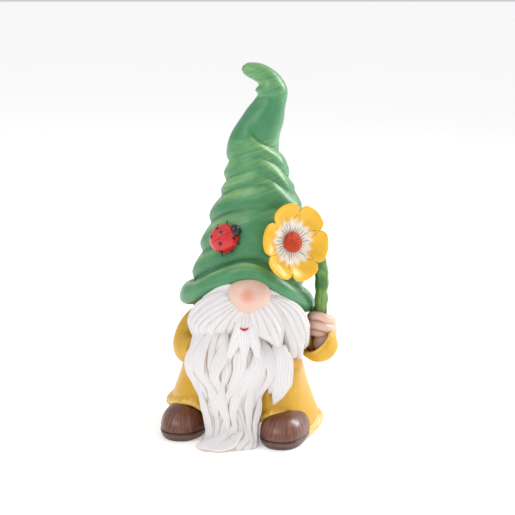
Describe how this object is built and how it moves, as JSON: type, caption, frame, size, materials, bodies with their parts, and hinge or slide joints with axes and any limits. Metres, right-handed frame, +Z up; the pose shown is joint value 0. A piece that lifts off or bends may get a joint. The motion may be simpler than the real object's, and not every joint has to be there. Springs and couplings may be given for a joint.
{
  "type": "garden gnome figurine",
  "caption": "Standing garden gnome figurine with a tall slouched hat, round nose, long beard and a fist that holds a big flower; a ladybird sits on the hat.",
  "frame": {"origin": "on the ground, under the middle of the figure's overall box", "axes": "+Z up to the hat; -Y is where the feet point; +X is the gnome's own left, the side of the hand with the flower"},
  "size_m": [0.1448, 0.125, 0.3026],
  "materials": {
    "hat_green": "satin, hand painted with dry-brushed highlights",
    "coat_yellow": "satin, hand painted",
    "skin": "satin, hand painted with a blush",
    "hair_white": "matte, white with a brown wash in the grooves",
    "boot_brown": "satin, dry-brushed",
    "sole_brown": "satin",
    "lip_red": "satin",
    "ladybird_red": "satin",
    "ladybird_black": "gloss",
    "petal_yellow": "satin, pale towards the middle",
    "flower_orange": "matte, grainy",
    "stem_green": "satin, dry-brushed"
  },
  "bodies": {
    "root": {"beard": "hair_white", "beard_lock_left": "hair_white", "boot_sole_left": "sole_brown", "boot_sole_right": "sole_brown", "boot_upper_left": "boot_brown", "boot_upper_right": "boot_brown", "coat_body": "coat_yellow", "cuff_left": "coat_yellow", "finger_index_left": "skin", "finger_middle_left": "skin", "finger_ring_left": "skin", "flower_calyx": "stem_green", "flower_centre": "flower_orange", "flower_petal_1": "petal_yellow", "flower_petal_2": "petal_yellow", "flower_petal_3": "petal_yellow", "flower_petal_4": "petal_yellow", "flower_petal_5": "petal_yellow", "flower_petal_6": "petal_yellow", "flower_stem": "stem_green", "hat_brim": "hat_green", "hat_crown": "hat_green", "head": "skin", "ladybird_head": "ladybird_black", "ladybird_spots": "ladybird_black", "ladybird_wing_cases": "ladybird_red", "moustache_left": "hair_white", "moustache_right": "hair_white", "mouth": "lip_red", "nose": "skin", "palm_left": "skin", "side_hair_left": "hair_white", "sleeve_left": "coat_yellow", "sleeve_right": "coat_yellow", "temple_hair_left": "hair_white", "temple_hair_right": "hair_white", "thumb_left": "skin", "trouser_leg_left": "coat_yellow", "trouser_leg_right": "coat_yellow"}
  },
  "joints": []
}
